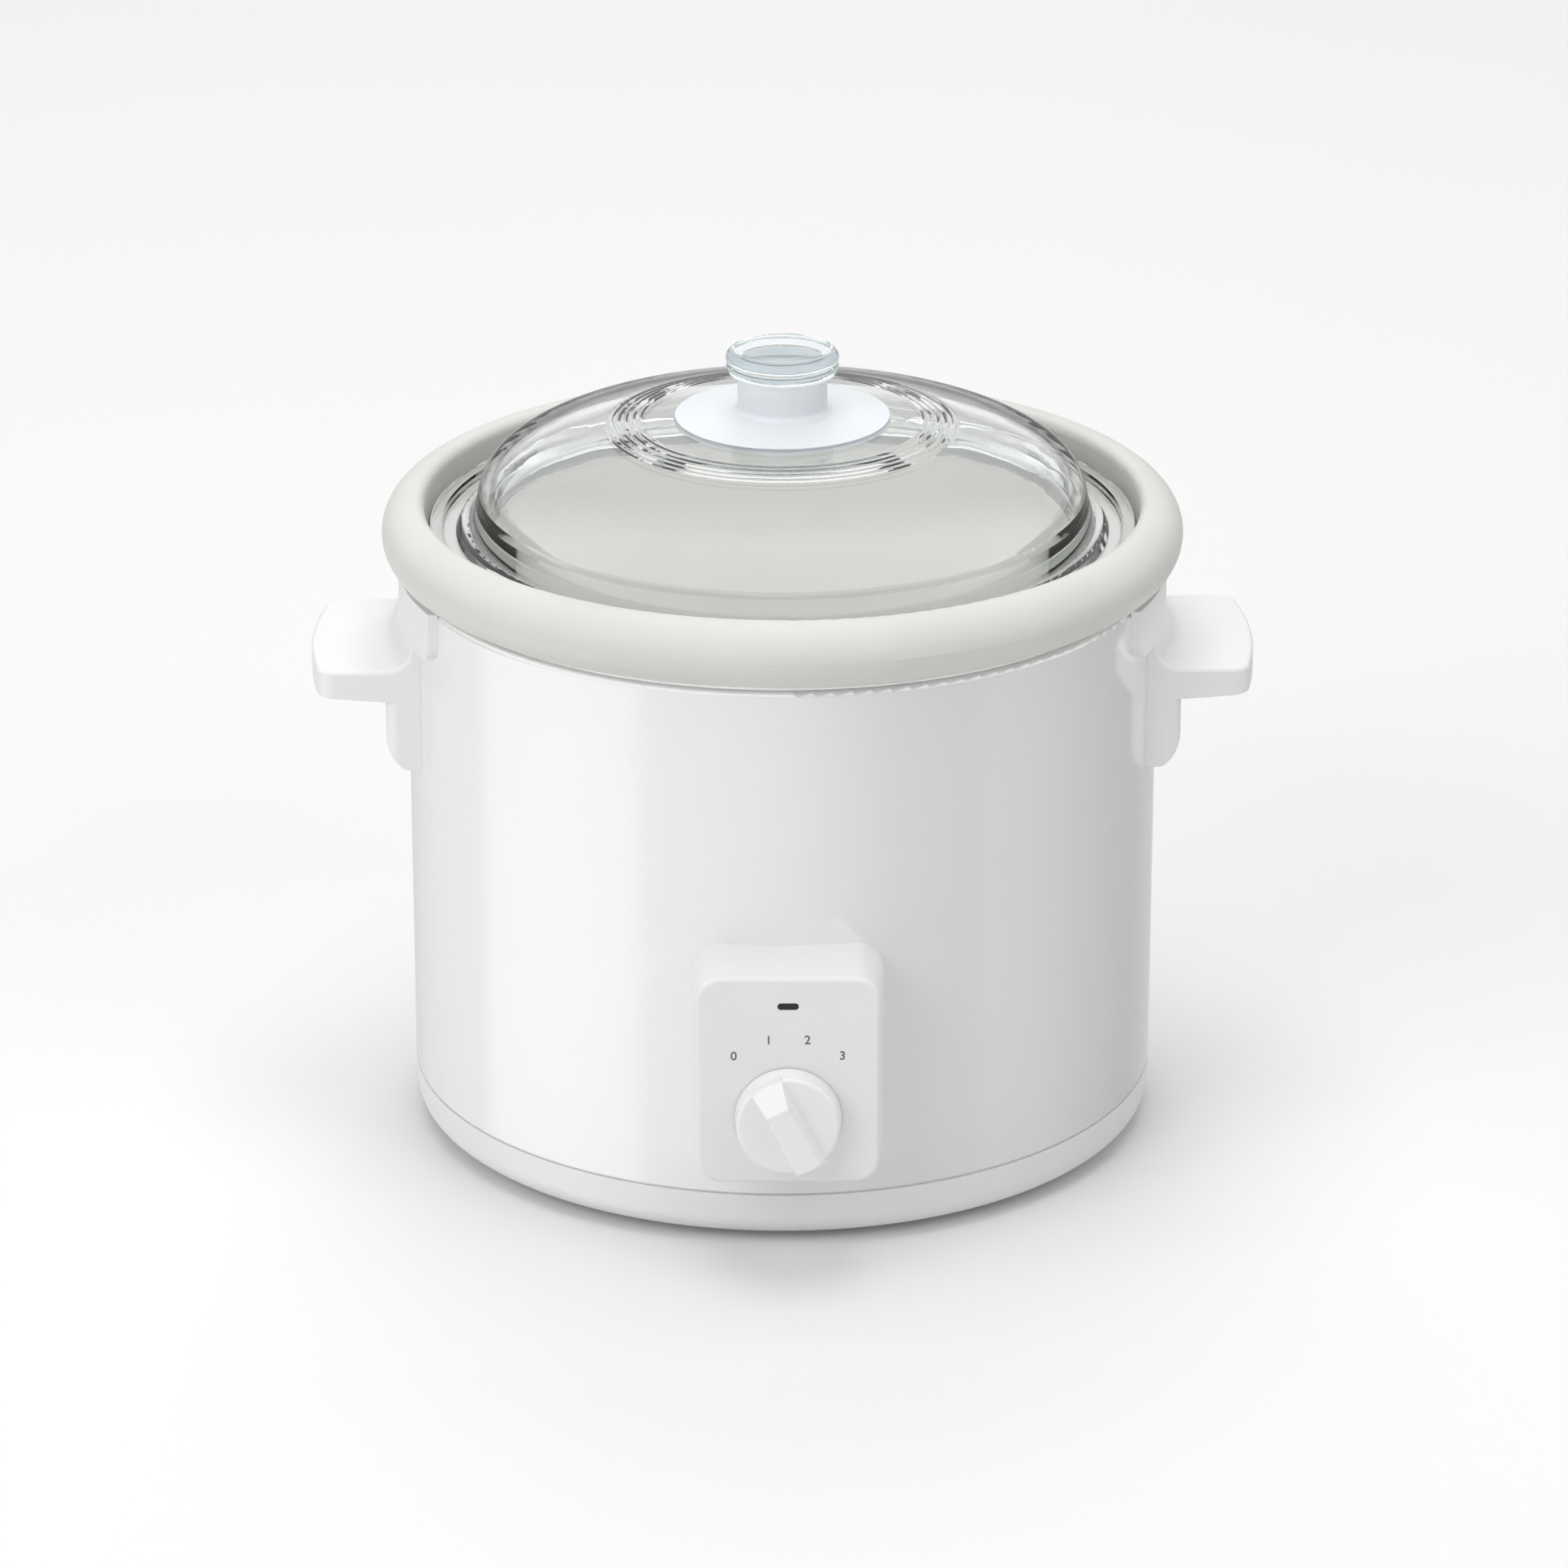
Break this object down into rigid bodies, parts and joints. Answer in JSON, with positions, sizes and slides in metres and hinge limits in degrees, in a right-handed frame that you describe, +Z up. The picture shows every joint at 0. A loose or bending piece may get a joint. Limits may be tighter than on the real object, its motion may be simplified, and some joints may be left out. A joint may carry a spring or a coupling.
{
  "type": "slow cooker",
  "caption": "Round electric slow cooker: white drum with side handles and a front control box, a stoneware crock with a fat rolled rim, and a domed glass lid with a glass knob.",
  "frame": {"origin": "on the pot's axis, on the surface that the four feet stand on", "axes": "+Z up along the pot's axis; -Y towards the control panel and knob; +X towards the right-hand handle as seen from the front"},
  "size_m": [0.3426, 0.3215, 0.2912],
  "materials": {
    "white_enamel": "gloss white stove enamel",
    "well_metal": "plain drawn sheet",
    "white_plastic": "satin white moulding",
    "panel_plastic": "fine satin, very light grey",
    "knob_plastic": "satin white moulding",
    "stoneware": "warm off-white glaze",
    "clear_glass": "clear pressed glass, greenish at its edges",
    "foot_rubber": "matt black rubber",
    "cord_rubber": "light grey rubber",
    "steel": "zinc-plated",
    "brass": "plain",
    "phenolic": "dark moulded phenolic",
    "smoked_lens": "near-black tinted window",
    "lamp_glass": "clear bulb",
    "mica": "mica and fibreglass laminate",
    "felt": "needled glass felt",
    "nylon": "natural nylon",
    "wire_sleeve": "silicone-insulated lead"
  },
  "bodies": {
    "housing": {"outer_shell": "white_enamel", "heating_well": "well_metal", "base_cover": "white_plastic", "foot_1": "foot_rubber", "foot_2": "foot_rubber", "foot_3": "foot_rubber", "foot_4": "foot_rubber", "heat_shield": "steel", "tie_bolt": "steel", "lower_spacer": "steel", "upper_spacer": "steel", "earth_tag": "brass", "tie_washer": "steel", "tie_nut": "steel", "handle_left": "white_plastic", "handle_right": "white_plastic", "handle_plate_left": "steel", "handle_plate_right": "steel", "handle_screws": "steel", "control_housing": "panel_plastic", "panel_screws": "steel", "rotary_switch": "phenolic", "switch_nut": "steel", "switch_terminals": "brass", "lamp_lens": "smoked_lens", "neon_lamp": "lamp_glass", "lamp_holder": "nylon", "lower_heater_band": "mica", "lower_heater_strap": "steel", "upper_heater_band": "mica", "upper_heater_strap": "steel", "insulation_felt": "felt", "thermal_fuse": "steel", "fuse_clip": "steel", "terminal_block": "nylon", "terminal_screws": "brass", "cord_gland": "cord_rubber", "supply_lead": "wire_sleeve", "return_lead": "wire_sleeve"},
    "crock": {"crock": "stoneware"},
    "lid": {"glass_lid": "clear_glass"},
    "knob": {"control_knob": "knob_plastic", "switch_shaft": "steel"}
  },
  "joints": [
    {"name": "crock_lift", "type": "slide", "parent": "housing", "child": "crock", "axis": [0, 0, 1], "range_m": [0, 0.2]},
    {"name": "lid_lift", "type": "slide", "parent": "crock", "child": "lid", "axis": [0, 0, 1], "range_m": [0, 0.15]},
    {"name": "knob_turn", "type": "hinge", "parent": "housing", "child": "knob", "pos_m": [0, -0.165, 0.0623], "axis": [0, 1, 0], "range_deg": [0, 54]}
  ]
}
